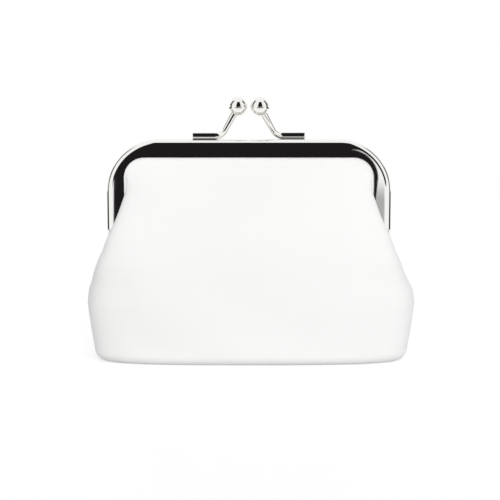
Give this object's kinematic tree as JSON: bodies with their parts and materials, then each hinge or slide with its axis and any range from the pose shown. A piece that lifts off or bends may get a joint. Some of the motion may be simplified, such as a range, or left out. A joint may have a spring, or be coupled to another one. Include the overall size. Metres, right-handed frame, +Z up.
{
  "type": "coin purse",
  "caption": "Small soft pouch hung in a hinged metal clasp frame that opens front and back and closes with a pair of balls on bent rods.",
  "frame": {"origin": "centre of the pouch's flat base, on the surface it stands on", "axes": "+X to the right seen from the front, -Y out of the front panel, +Z up towards the clasp"},
  "size_m": [0.0982, 0.0346, 0.0786],
  "materials": {
    "frame_metal": "bright mirror plating",
    "clasp_metal": "bright mirror plating",
    "rivet_metal": "plated, slightly worn",
    "shell_leather": "smooth matte white coated leather with a very fine grain",
    "interlining_felt": "thin pressed felt",
    "lining_cloth": "fine plain weave",
    "paper_cord": "twisted paper",
    "sewing_thread": "polyester thread"
  },
  "bodies": {
    "root": {"shell_front_lower": "shell_leather", "shell_back_lower": "shell_leather", "interlining_front_lower": "interlining_felt", "interlining_back_lower": "interlining_felt", "lining_front_lower": "lining_cloth", "lining_back_lower": "lining_cloth", "side_seam_thread": "sewing_thread", "bottom_seam_thread": "sewing_thread", "hinge_rivet_left": "rivet_metal", "hinge_rivet_right": "rivet_metal"},
    "front_half": {"frame_front": "frame_metal", "clasp_arm_front": "clasp_metal", "clasp_ball_front": "clasp_metal", "paper_cord_front": "paper_cord", "shell_front_upper": "shell_leather", "interlining_front_upper": "interlining_felt", "lining_front_upper": "lining_cloth"},
    "back_half": {"frame_back": "frame_metal", "clasp_arm_back": "clasp_metal", "clasp_ball_back": "clasp_metal", "paper_cord_back": "paper_cord", "shell_back_upper": "shell_leather", "interlining_back_upper": "interlining_felt", "lining_back_upper": "lining_cloth"}
  },
  "joints": [
    {"name": "front_hinge", "type": "hinge", "parent": "root", "child": "front_half", "pos_m": [0, 0, 0.034], "axis": [1, 0, 0], "range_deg": [0, 40], "deforming": ["shell_front_upper", "interlining_front_upper", "lining_front_upper"]},
    {"name": "back_hinge", "type": "hinge", "parent": "root", "child": "back_half", "pos_m": [0, 0, 0.034], "axis": [-1, 0, 0], "range_deg": [0, 40], "deforming": ["shell_back_upper", "interlining_back_upper", "lining_back_upper"]}
  ]
}
